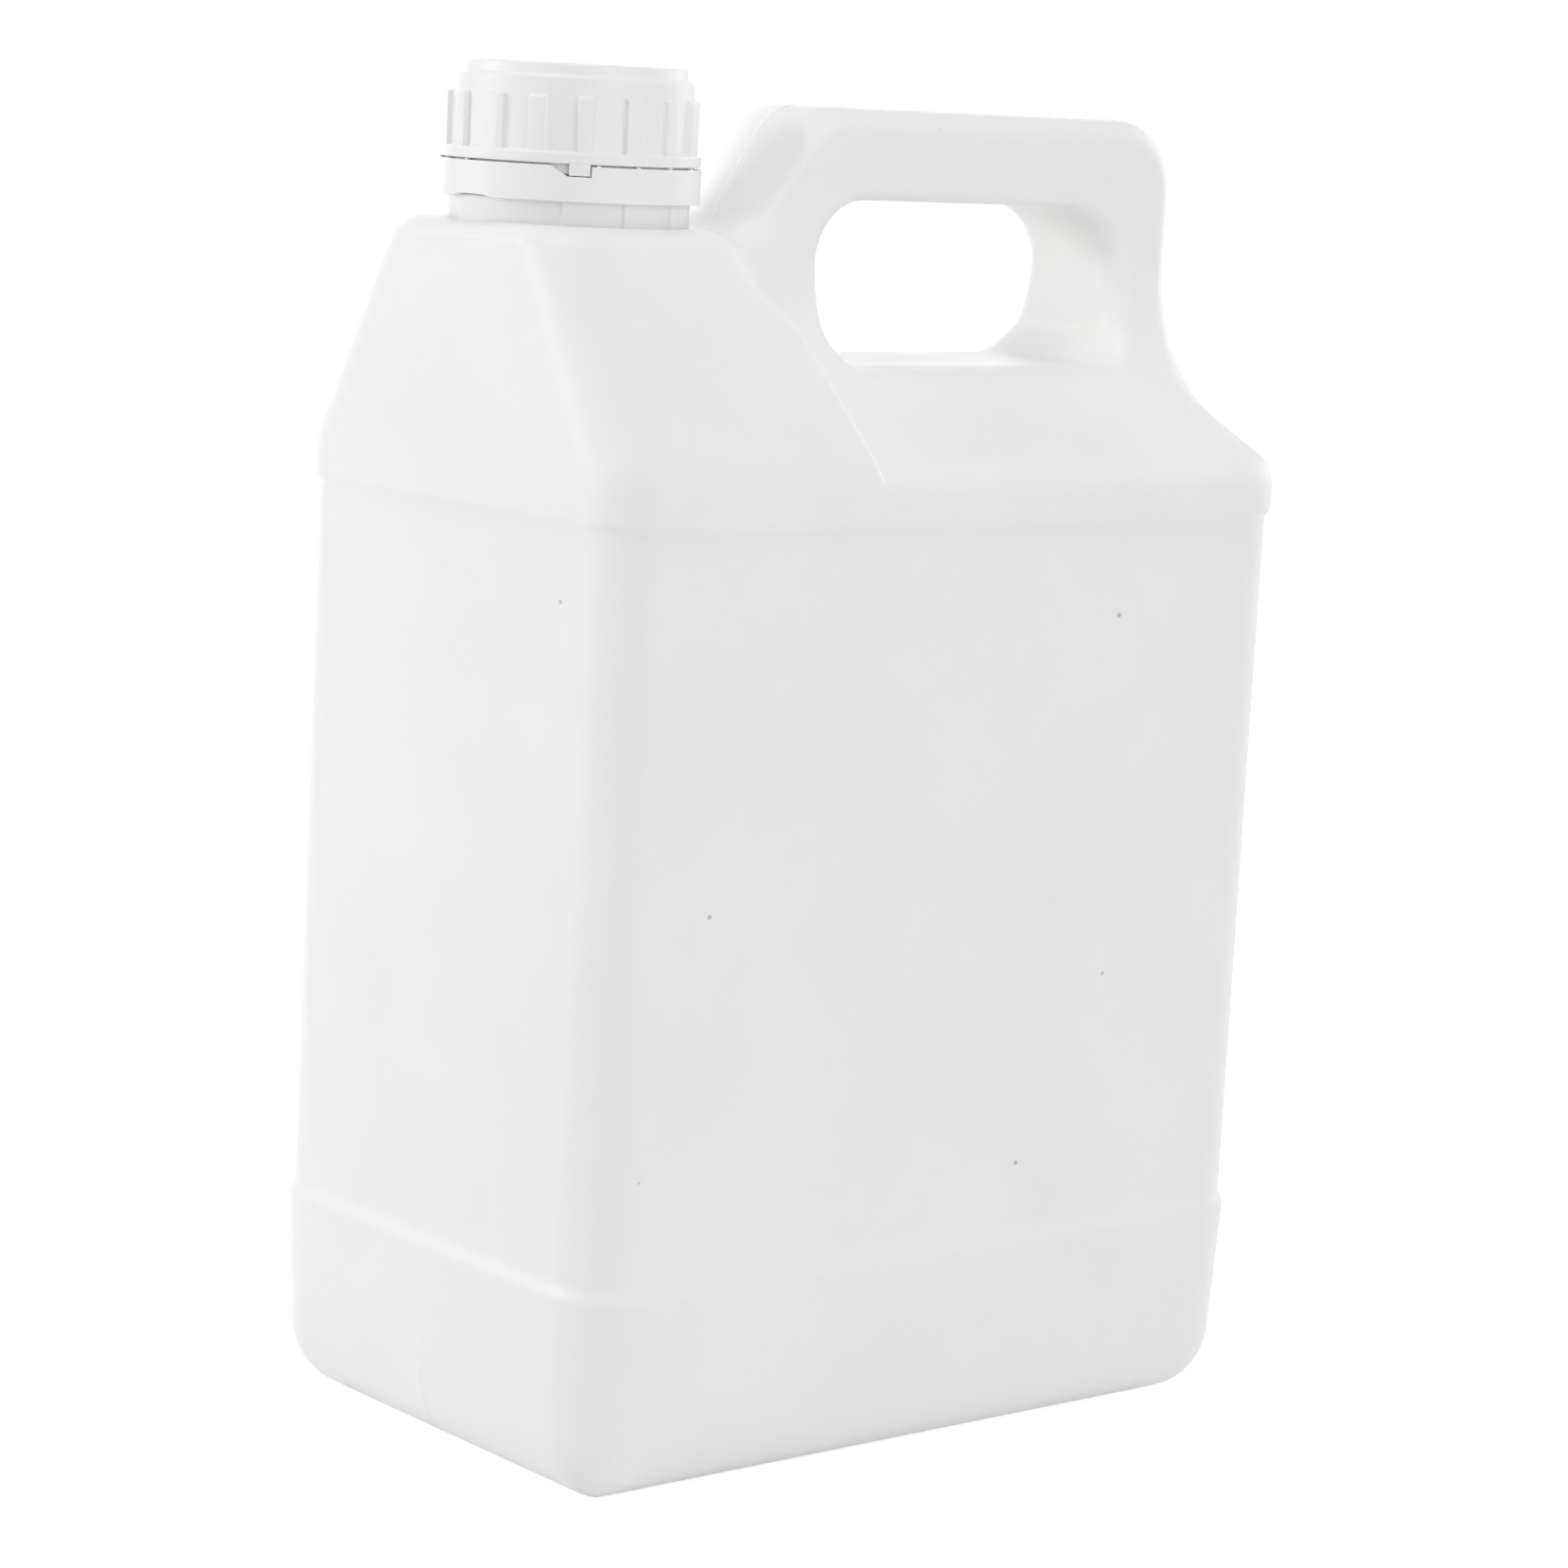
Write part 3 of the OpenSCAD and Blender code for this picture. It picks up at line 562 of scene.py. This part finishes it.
def plastic(name, colour, roughness, wave, grain, subsurface, depth=0.003, streak=0.0, specks=()):
    """Satin polyethylene: faint colour drift, uneven gloss, soft waves, streaks and fine grain."""
    mat = bpy.data.materials.new(name)
    mat.use_nodes = True
    tree = mat.node_tree
    shader = tree.nodes["Principled BSDF"]
    shader.inputs["IOR"].default_value = 1.5
    shader.inputs["Subsurface Weight"].default_value = subsurface
    shader.inputs["Subsurface Radius"].default_value = (1.0, 0.95, 0.9)
    shader.inputs["Subsurface Scale"].default_value = depth
    coords = node(tree, "ShaderNodeTexCoord").outputs["Object"]

    cloud = noise(tree, coords, scale=28.0, detail=3.0, roughness=0.5)
    tint = node(tree, "ShaderNodeMix")
    tint.data_type = "RGBA"
    tint.blend_type = "MULTIPLY"
    tint.inputs["Factor"].default_value = 1.0
    tint.inputs["A"].default_value = (*colour, 1)
    tree.links.new(moved_range(tree, cloud, NOISE_RANGE, (0.985, 1.012)), tint.inputs["B"])
    painted = tint.outputs["Result"]
    if specks:
        painted = specked(tree, coords, painted, specks)
    tree.links.new(painted, shader.inputs["Base Color"])

    patches = noise(tree, coords, scale=60.0, detail=4.0, roughness=0.6)
    gloss = moved_range(tree, patches, NOISE_RANGE, (roughness - 0.04, roughness + 0.05))
    tree.links.new(gloss, shader.inputs["Roughness"])

    broad = noise(tree, coords, scale=22.0, detail=2.0, roughness=0.4)
    normal = bump(tree, broad, strength=wave, distance=0.6 * MM)
    if streak:
        stretch = node(tree, "ShaderNodeMapping")
        stretch.inputs["Scale"].default_value = (7.0, 7.0, 110.0)
        tree.links.new(coords, stretch.inputs["Vector"])
        lines = noise(tree, stretch.outputs["Vector"], scale=1.0, detail=3.0, roughness=0.55)
        normal = bump(tree, lines, strength=streak, distance=0.25 * MM, normal=normal)
    fine = noise(tree, coords, scale=1600.0, detail=2.0, roughness=0.5)
    normal = bump(tree, fine, strength=grain, distance=0.05 * MM, normal=normal)
    tree.links.new(normal, shader.inputs["Normal"])
    return mat


BODY_MAT = plastic("hdpe_body", (0.92, 0.92, 0.915), roughness=0.46, wave=0.25, grain=0.25,
                   subsurface=0.15, streak=0.3, specks=SPECKS)
CAP_MAT = plastic("hdpe_closure", (0.93, 0.93, 0.93), roughness=0.42, wave=0.08, grain=0.2,
                  subsurface=0.1, depth=0.001)
WAD_MAT = plastic("wad_foam", (0.85, 0.85, 0.82), roughness=0.7, wave=0.1, grain=0.8, subsurface=0.05)

# The moulding. Each grid mark is a place and the spacing of the grid lines there.
xs = grid_lines([(-98, 0.9), (-80, 1.6), (-60, 2.2), (-40, 1.3), (-10, 1.3), (0, 2.2), (60, 2.4),
                 (74, 1.4), (98, 0.9)])
ys_half = grid_lines([(0.0, 0.25), (0.25, 0.25), (1.0, 0.5), (3, 1.2), (9, 1.2), (16.5, 0.9),
                      (30, 1.5), (46, 1.7), (63, 0.9)])
ys = np.concatenate([-ys_half[:0:-1], ys_half])
zs = grid_lines([(-1, 0.8), (18, 1.6), (44, 1.6), (45.5, 0.4), (48.6, 0.4), (51, 1.8), (62, 4), (195, 4),
                 (205.2, 1.0), (206, 0.4), (208.8, 0.4), (212, 1.0), (225, 1.4), (262, 1.3), (267.2, 0.6),
                 (272, 1.2), (286, 1.2), (295, 0.8)])
body = body_mesh("moulding", body_field, xs, ys, zs)

# its inner face, on a coarser grid
inner_x = grid_lines([(-98, 2.5), (98, 2.5)])
inner_y = grid_lines([(-63, 2.5), (63, 2.5)])
inner_z = grid_lines([(-1, 2.0), (20, 3), (60, 6), (200, 6), (215, 3), (295, 2.4)])
lining = body_mesh("moulding_inside", lambda x, y, z: body_field(x, y, z) + WALL,
                   inner_x, inner_y, inner_z, inward=True)

# the neck with its bead and thread
even = np.arange(0, 360, 3.0)
neck_profile = rounded(
    [(BORE_R, NECK_ROOT_Z), (GROOVE_R, NECK_ROOT_Z), (GROOVE_R, BEAD_Z), (BEAD_R, BEAD_Z),
     (BEAD_R, BEAD_Z + BEAD_H / 3), (NECK_R, BEAD_Z + BEAD_H), (NECK_R, SEAT_Z), (BORE_R, SEAT_Z)],
    [0, 0, 0.3, 0.3, 0.5, 0.4, 0.8, 0.4])
neck = even_normals(lathe("neck", neck_profile, even))
thread_z = SEAT_Z - 0.6 * PITCH
neck_thread = helix("neck_thread", NECK_R, THREAD_DEPTH, thread_z, NECK_TURNS)


def collar_shape():
    """The angles of the collar's points, and at each how far down the tooth's slope it lies, 0 to 1."""
    angles, share = [], []
    for i in range(COLLAR_TEETH):
        for s in (0.0, 0.012, 0.03, 0.2, 0.4, 0.6, 0.8, 0.95, 0.985):
            angles.append(360 * (i + s) / COLLAR_TEETH + COLLAR_TURN)
            share.append(s if s > 0.02 else s * 0.3)
    return np.array(angles), np.array(share)


# the collar under the ring: each tooth's face slopes in and ends in a small step
collar_angles, collar_share = collar_shape()
COLLAR_TOP = PLATFORM_Z + COLLAR_H
collar_profile = rounded(
    [(COLLAR_ROOT_R, COLLAR_ROOT_Z), (COLLAR_R, COLLAR_ROOT_Z), (COLLAR_R, COLLAR_TOP),
     (COLLAR_ROOT_R, COLLAR_TOP)],
    [0, 0, 0.35, 0])


def collar_change(phi, r, z):
    share = np.interp(phi, collar_angles, collar_share)
    return r - TOOTH_DEPTH * share * (r > (COLLAR_ROOT_R + COLLAR_R) / 2), z


collar = even_normals(lathe("neck_collar", collar_profile, collar_angles, collar_change))

# the cap, with points in its profile and round it where the grip ribs begin and end
cap_profile = rounded(
    [(CAP_IN_R, CAP_Z), (FLANGE_R, CAP_Z), (FLANGE_R, CAP_Z + FLANGE_H), (CAP_R, CAP_Z + FLANGE_H),
     (CAP_R, CAP_TOP), (BOSS_R, CAP_TOP), (BOSS_R - BOSS_DRAFT, CAP_TOP + BOSS_H), (0, CAP_TOP + BOSS_H),
     (0, CEILING_Z), (CEILING_R, CEILING_Z), (CEILING_R, SEAT_Z + SEAT_GAP),
     (CAP_IN_R, SEAT_Z + SEAT_GAP)],
    [0.2, 0.4, 0.5, 0.3, 0.9, 0.3, 0.6, 0, 0, 0.2, 0.2, 0.2])
rib_base, rib_end = CAP_Z + FLANGE_H, CAP_Z + FLANGE_H + RIB_H
wall_end = int(np.argmin(np.hypot(cap_profile[:, 0] - CAP_R, cap_profile[:, 1] - (CAP_TOP - 0.9))))
levels = [rib_base + 0.8, rib_base + 5]
levels += [rib_end + o for o in (-0.5, -0.25, -0.05, 0.15, 0.4)]
cap_profile = np.concatenate([cap_profile[:wall_end], [(CAP_R, z) for z in levels],
                              cap_profile[wall_end:]])
rib_half = math.degrees(RIB_W / 2 / RIB_R)
rib_side = [-rib_half + o for o in (-0.5, -0.15, 0.05, 0.3, 0.7)] + [-1.5]
rib_points = rib_side + [0] + [-o for o in rib_side] + [7.0, 9.2, 11.25, 13.3, 15.5]
cap_angles = np.array(sorted({round(RIB_TURN + 360 * i / RIB_COUNT + o, 4)
                              for i in range(RIB_COUNT) for o in rib_points}))


def cap_change(phi, r, z):
    """Moves the cap's side out where a grip rib stands."""
    pitch = 360 / RIB_COUNT
    off = np.abs((phi - RIB_TURN + pitch / 2) % pitch - pitch / 2)
    across = 1 - smooth(rib_half - 0.35, rib_half + 0.3, off)
    along = 1 - smooth(rib_end - 0.35, rib_end + 0.2, z)
    outer = (r > CAP_R - 0.2) & (r < FLANGE_R - 0.8) & (z > rib_base - 0.1) & (z < CAP_TOP - 0.5)
    return np.where(outer, np.maximum(r, CAP_R + (RIB_R - CAP_R) * across * along), r), z


cap = even_normals(lathe("cap", cap_profile, cap_angles, cap_change, weld=True))
cap_thread = helix("cap_thread", CAP_IN_R, -THREAD_DEPTH, thread_z - PITCH / 2, CAP_TURNS)

# short skirt inside the cap's rim, just over the neck's bead and just inside the ring
skirt_profile = rounded(
    [(CAP_IN_R, SKIRT_IN_LOW), (SKIRT_R - SKIRT_BEVEL, SKIRT_LOW), (SKIRT_R, SKIRT_LOW),
     (SKIRT_R, SKIRT_TOP), (CAP_IN_R, SKIRT_TOP)],
    [0, 0, 0.1, 0, 0])
skirt = even_normals(lathe("cap_skirt", skirt_profile, even))

# the cap's lugs, each in a notch of the ring
lug_start = NOTCH_WALL - NOTCH_SPAN + RAMP_SPAN + LUG_GAP_TURN
lug_span = NOTCH_SPAN - RAMP_SPAN - 2 * LUG_GAP_TURN
lugs = [sector(f"cap_lug_{i}", lug_start + 360 / NOTCHES * i, lug_span, RING_IN_R + LUG_GAP,
               FLANGE_R - LUG_INSET, CAP_Z - 0.5 - NOTCH_DEPTH + LUG_GAP, CAP_Z + LUG_SINK, LUG_BEVEL)
        for i in range(NOTCHES)]

# the tamper ring
ring_profile = rounded(
    [(RING_IN_R, RING_Z), (RING_R, RING_Z), (RING_R, RING_LOW_Z), (RING_R, RING_MID_Z),
     (RING_R, RING_TOP), (RING_IN_R, RING_TOP), (RING_IN_R, LIP_TOP), (GROOVE_R + LIP_GAP, LIP_TOP),
     (GROOVE_R + LIP_GAP, LIP_Z), (RING_IN_R, LIP_Z)],
    [0.2, 0.3, 0, 0, 0.25, 0.2, 0, 0.3, 0.3, 0])
ring_angles = set(np.arange(0, 360, 2.5).tolist())
for i in range(NOTCHES):
    wall = NOTCH_WALL + 360 / NOTCHES * i
    start, bend = wall - NOTCH_SPAN, wall - NOTCH_SPAN + RAMP_SPAN
    ring_angles |= {round(a % 360, 4) for a in (wall - WALL_TURN, wall + WALL_TURN, start, bend,
                                               start - RAMP_SOFT, bend + RAMP_SOFT)}
ring_angles = np.array(sorted(ring_angles))


def ring_change(phi, r, z):
    """Lowers the ring's top in the notches and lifts its lower edge on the side away from the handle."""
    back = (NOTCH_WALL - phi) % (360 / NOTCHES)
    deep = np.where(back < NOTCH_SPAN - RAMP_SPAN, 1.0, np.clip((NOTCH_SPAN - back) / RAMP_SPAN, 0, 1))
    deep = np.where(back < WALL_TURN / 2, 0, deep)
    top = np.clip((z - NOTCH_BEND_Z) / (RING_TOP - 0.3 - NOTCH_BEND_Z), 0, 1) * (r > RING_IN_R - 0.1)
    low = np.clip((RING_LOW_Z - z) / (RING_LOW_Z - RING_Z), 0, 1)
    lift = RING_LIFT * smooth(LIFT_FROM, LIFT_FULL, phi) * (1 - smooth(LIFT_END, LIFT_GONE, phi))
    return r, z - NOTCH_DEPTH * deep * top + lift * low


ring = even_normals(lathe("ring", ring_profile, ring_angles, ring_change))
stubs = [sector(f"ring_stub_{i}_{k}", NOTCH_WALL + STUB_TURN + STUB_STEP * k + 360 / NOTCHES * i, STUB_SPAN,
                RING_IN_R + STUB_INSET, RING_R - STUB_INSET, RING_TOP - STUB_SINK, CAP_Z - STUB_GAP,
                STUB_BEVEL)
         for i in range(NOTCHES) for k in range(STUBS)]

# the wad
wad_profile = rounded([(0, WAD_Z), (WAD_R, WAD_Z), (WAD_R, WAD_TOP), (0, WAD_TOP)],
                      [0, WAD_EDGE, WAD_EDGE, 0])
wad = even_normals(lathe("wad", wad_profile, even, weld=True))

# what each piece rides on; the CAD nodes that the pieces stand in for are hidden
for piece in (body, lining, neck, neck_thread, collar):
    piece.data.materials.append(BODY_MAT)
    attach(piece, "container")
for piece in (cap, cap_thread, skirt, *lugs):
    piece.data.materials.append(CAP_MAT)
    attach(piece, "cap")
for piece in (ring, *stubs):
    piece.data.materials.append(CAP_MAT)
    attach(piece, "ring")
wad.data.materials.append(WAD_MAT)
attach(wad, "wad")
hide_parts("container_body")
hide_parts("container_neck")
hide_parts("screw_cap")
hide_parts("tamper_ring")
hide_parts("sealing_wad")

# floor and world
WHITE = (1, 1, 1, 1)
FLOOR_COLOUR, FLOOR_GLOW, FLOOR_HALF = (0.87, 0.87, 0.87, 1), 0.72, 6000
WORLD_LIGHT = 0.44


def seen_as_background(tree):
    """1 for camera, glossy and transmission rays, 0 for the rays that light the object."""
    path = node(tree, "ShaderNodeLightPath")
    seen = path.outputs["Is Camera Ray"]
    for kind in ("Is Glossy Ray", "Is Transmission Ray"):
        seen = calculate(tree, "MAXIMUM", seen, path.outputs[kind])
    return seen


def floor_material():
    """Pale floor that takes the shadow, with a glow that only the background sees."""
    mat = bpy.data.materials.new("floor_white")
    mat.use_nodes = True
    tree = mat.node_tree
    tree.nodes.clear()
    diffuse = node(tree, "ShaderNodeBsdfDiffuse", Color=FLOOR_COLOUR)
    glow = node(tree, "ShaderNodeEmission", Color=WHITE)
    tree.links.new(calculate(tree, "MULTIPLY", seen_as_background(tree), FLOOR_GLOW), glow.inputs["Strength"])
    add = node(tree, "ShaderNodeAddShader")
    tree.links.new(diffuse.outputs[0], add.inputs[0])
    tree.links.new(glow.outputs[0], add.inputs[1])
    tree.links.new(add.outputs[0], node(tree, "ShaderNodeOutputMaterial").inputs["Surface"])
    return mat


floor_corners = [(x * FLOOR_HALF, y * FLOOR_HALF, 0) for x, y in ((-1, -1), (1, -1), (1, 1), (-1, 1))]
floor = make_object("floor", floor_corners, [(0, 1, 2, 3)], smooth_faces=False)
floor.data.materials.append(floor_material())

world = bpy.data.worlds.new("studio")
bpy.context.scene.world = world
world.use_nodes = True
tree = world.node_tree
tree.nodes.clear()
plain = node(tree, "ShaderNodeBackground", Color=WHITE, Strength=WORLD_LIGHT)
white = node(tree, "ShaderNodeBackground", Color=WHITE, Strength=1.0)
mix = node(tree, "ShaderNodeMixShader")
tree.links.new(seen_as_background(tree), mix.inputs["Fac"])
tree.links.new(plain.outputs[0], mix.inputs[1])
tree.links.new(white.outputs[0], mix.inputs[2])
tree.links.new(mix.outputs[0], node(tree, "ShaderNodeOutputWorld").inputs["Surface"])


def area_light(name, where, target, size, power):
    light = bpy.data.lights.new(name, "AREA")
    light.shape = "RECTANGLE"
    light.size, light.size_y = size
    light.energy = power
    obj = bpy.data.objects.new(name, light)
    bpy.context.scene.collection.objects.link(obj)
    obj.location = where
    obj.rotation_euler = (Vector(target) - Vector(where)).to_track_quat("-Z", "Y").to_euler()


# name, place and target in metres, size in metres, watts
area_light("key_left", (-1.0, 0.67, 0.5), (0, 0, 0.2), (0.35, 0.35), 4.2)
area_light("front_fill", (0.0, -1.8, 0.55), (0, 0, 0.15), (1.5, 1.2), 7.5)
area_light("rim_right", (1.7, 0.1, 0.6), (0, 0, 0.2), (0.9, 0.9), 5)
area_light("back", (0.7, 1.7, 0.6), (0, 0, 0.2), (2.0, 1.2), 8)
area_light("top", (-0.3, -0.3, 1.7), (0, 0, 0.2), (1.4, 1.4), 7.5)

# The camera as fitted to the photograph: focal length and width in pixels, angles in degrees.
FOCAL_PX, PHOTO_PX, SENSOR = 4688.68, 1657, 36
AZIMUTH, ELEVATION, ROLL = math.radians(-39.888), math.radians(9.030), math.radians(3.021)
CAMERA_AT = (-0.6376, -0.7626, 0.2993)
camera_data = bpy.data.cameras.new("camera")
camera_data.sensor_fit = "HORIZONTAL"
camera_data.sensor_width = SENSOR
camera_data.lens = FOCAL_PX / PHOTO_PX * SENSOR
camera_data.clip_start, camera_data.clip_end = 0.05, 50
camera = bpy.data.objects.new("camera", camera_data)
bpy.context.scene.collection.objects.link(camera)
back = Vector((math.sin(AZIMUTH) * math.cos(ELEVATION), -math.cos(AZIMUTH) * math.cos(ELEVATION),
               math.sin(ELEVATION)))
right = Vector((math.cos(AZIMUTH), math.sin(AZIMUTH), 0))
up = back.cross(right)
c, s = math.cos(ROLL), math.sin(ROLL)
axis_x, axis_y = c * right + s * up, -s * right + c * up
rows = [(axis_x[i], axis_y[i], back[i], CAMERA_AT[i]) for i in range(3)]
camera.matrix_world = Matrix(rows + [(0, 0, 0, 1)])
bpy.context.scene.camera = camera
bpy.context.scene.view_settings.view_transform = "Standard"
